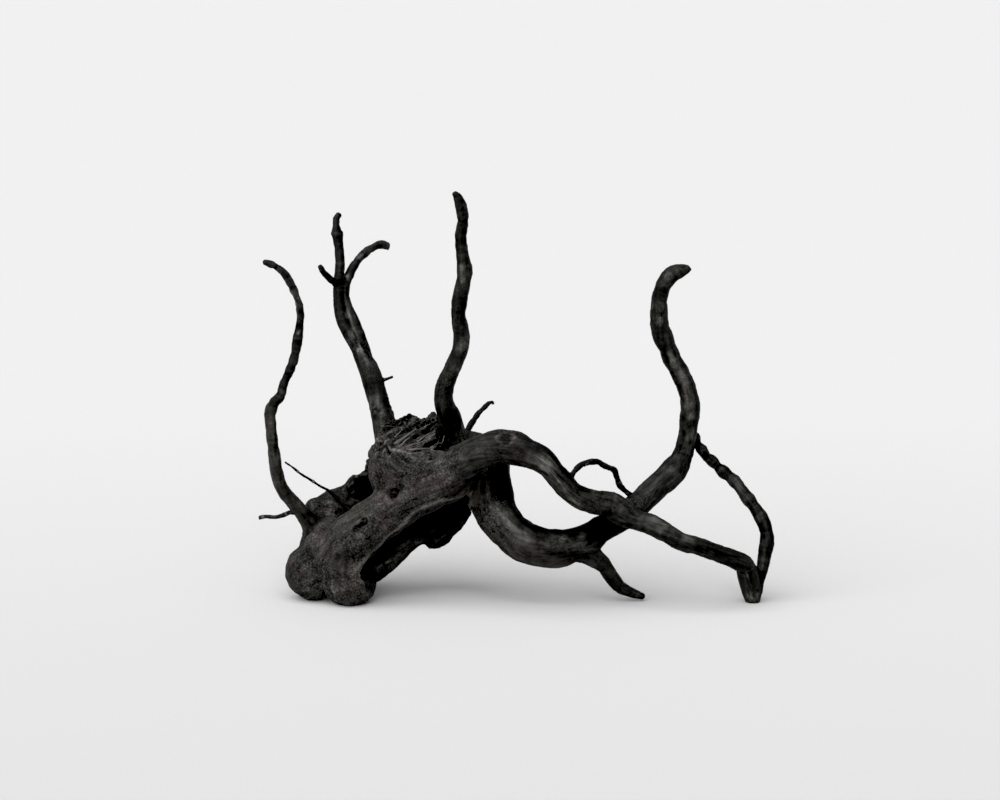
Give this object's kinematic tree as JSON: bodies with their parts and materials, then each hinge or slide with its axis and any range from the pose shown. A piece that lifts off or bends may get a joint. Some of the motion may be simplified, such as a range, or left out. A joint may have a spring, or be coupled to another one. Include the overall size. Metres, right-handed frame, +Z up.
{
  "type": "driftwood root",
  "caption": "Charcoal-black driftwood root that stands by itself on swollen feet, with a broken stump, thick roots arching to one side and slim bent shoots standing up.",
  "frame": {"origin": "middle of the box around the root, on the surface it stands on", "axes": "+X along the roots towards the right foot, +Y from the front to the back, +Z up"},
  "size_m": [0.366, 0.1736, 0.2931],
  "materials": {
    "wood": "bare weathered wood, charcoal black with browner lit ridges, dull with a faint sheen"
  },
  "bodies": {
    "root": {"driftwood_root": "wood"}
  },
  "joints": []
}
